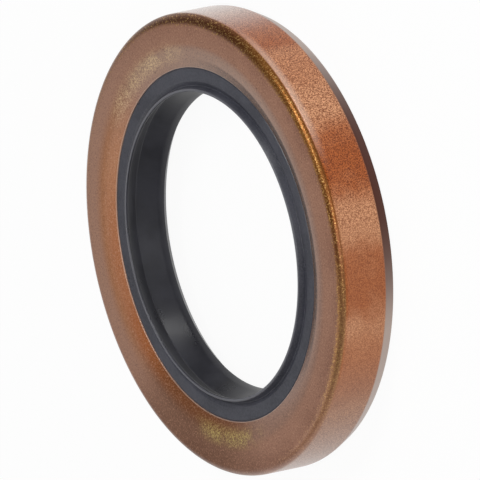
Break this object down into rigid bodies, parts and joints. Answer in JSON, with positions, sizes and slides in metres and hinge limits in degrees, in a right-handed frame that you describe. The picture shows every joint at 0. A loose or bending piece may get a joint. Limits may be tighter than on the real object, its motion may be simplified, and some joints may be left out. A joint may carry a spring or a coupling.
{
  "type": "radial shaft seal",
  "caption": "Ring seal for a turning shaft: a lacquered steel case pressed into a housing, a bonded rubber lip with a dust lip, and a garter spring.",
  "frame": {"origin": "centre of the case's rear edge, the edge that the seal lies on", "axes": "+Z along the shaft axis, out of the air side with the dust lip; X and Y are any two directions across it"},
  "size_m": [0.0478, 0.0478, 0.0068],
  "materials": {
    "case_lacquer": "copper-brown lacquer with a fine grain, on drawn sheet steel",
    "seal_rubber": "moulded nitrile rubber, satin black with a blue-grey cast",
    "spring_steel": "bright spring wire"
  },
  "bodies": {
    "root": {"metal_case": "case_lacquer", "sealing_element": "seal_rubber", "garter_spring": "spring_steel"}
  },
  "joints": []
}
